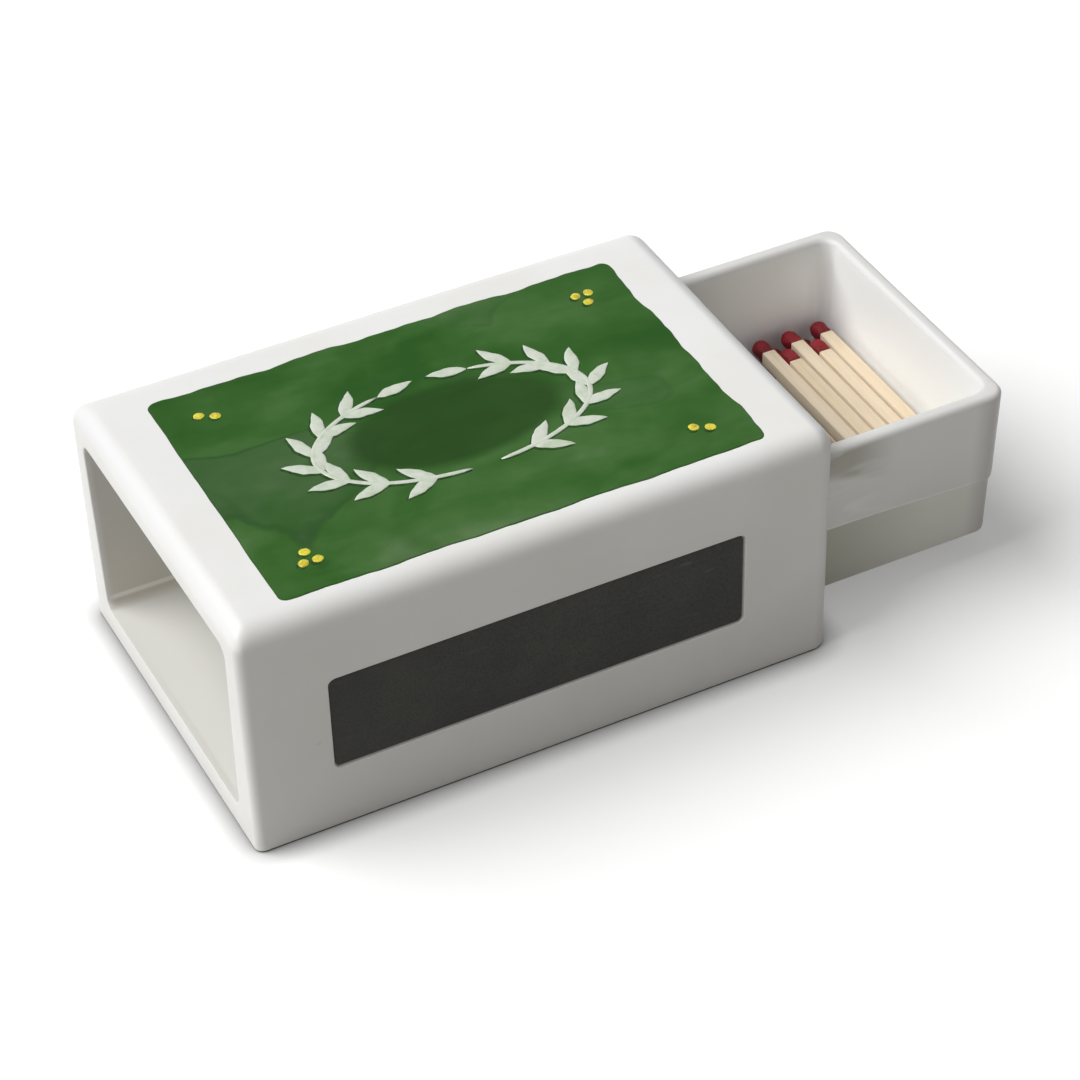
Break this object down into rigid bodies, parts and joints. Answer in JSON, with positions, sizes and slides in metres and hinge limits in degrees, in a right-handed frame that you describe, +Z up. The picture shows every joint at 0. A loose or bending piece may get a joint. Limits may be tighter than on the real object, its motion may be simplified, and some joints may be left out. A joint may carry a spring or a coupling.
{
  "type": "match striker",
  "caption": "Glazed porcelain match holder: an open-ended sleeve with a side striking strip and painted top, and a sliding drawer of wooden matches.",
  "frame": {"origin": "middle of the sleeve's underside, on the surface that it stands on", "axes": "+X along the sleeve, towards the end where the drawer is out; -Y towards the striking strip; +Z up"},
  "size_m": [0.1484, 0.071, 0.0474],
  "materials": {
    "porcelain": "soft white glaze over slip-cast porcelain",
    "striking_grit": "fine dark grit on a paper backing, matt",
    "green_enamel": "washy hand-brushed green enamel",
    "white_enamel": "hand-brushed off-white enamel",
    "yellow_enamel": "dabbed yellow enamel",
    "match_wood": "bare sawn aspen",
    "match_head": "dipped dark red compound"
  },
  "bodies": {
    "sleeve_body": {"sleeve": "porcelain", "striking_strip": "striking_grit", "painted_ground": "green_enamel", "painted_garland": "white_enamel", "painted_berries": "yellow_enamel"},
    "drawer_body": {"drawer": "porcelain", "match_stick_01": "match_wood", "match_stick_02": "match_wood", "match_stick_03": "match_wood", "match_stick_04": "match_wood", "match_stick_05": "match_wood", "match_stick_06": "match_wood", "match_stick_07": "match_wood", "match_stick_08": "match_wood", "match_stick_09": "match_wood", "match_stick_10": "match_wood", "match_stick_11": "match_wood", "match_stick_12": "match_wood", "match_stick_13": "match_wood", "match_stick_14": "match_wood", "match_stick_15": "match_wood", "match_stick_16": "match_wood", "match_stick_17": "match_wood", "match_stick_18": "match_wood", "match_stick_19": "match_wood", "match_stick_20": "match_wood", "match_head_01": "match_head", "match_head_02": "match_head", "match_head_03": "match_head", "match_head_04": "match_head", "match_head_05": "match_head", "match_head_06": "match_head", "match_head_07": "match_head", "match_head_08": "match_head", "match_head_09": "match_head", "match_head_10": "match_head", "match_head_11": "match_head", "match_head_12": "match_head", "match_head_13": "match_head", "match_head_14": "match_head", "match_head_15": "match_head", "match_head_16": "match_head", "match_head_17": "match_head", "match_head_18": "match_head", "match_head_19": "match_head", "match_head_20": "match_head"}
  },
  "joints": [
    {"name": "drawer_slide", "type": "slide", "parent": "sleeve_body", "child": "drawer_body", "axis": [1, 0, 0], "range_m": [-0.149, 0.0702]}
  ]
}
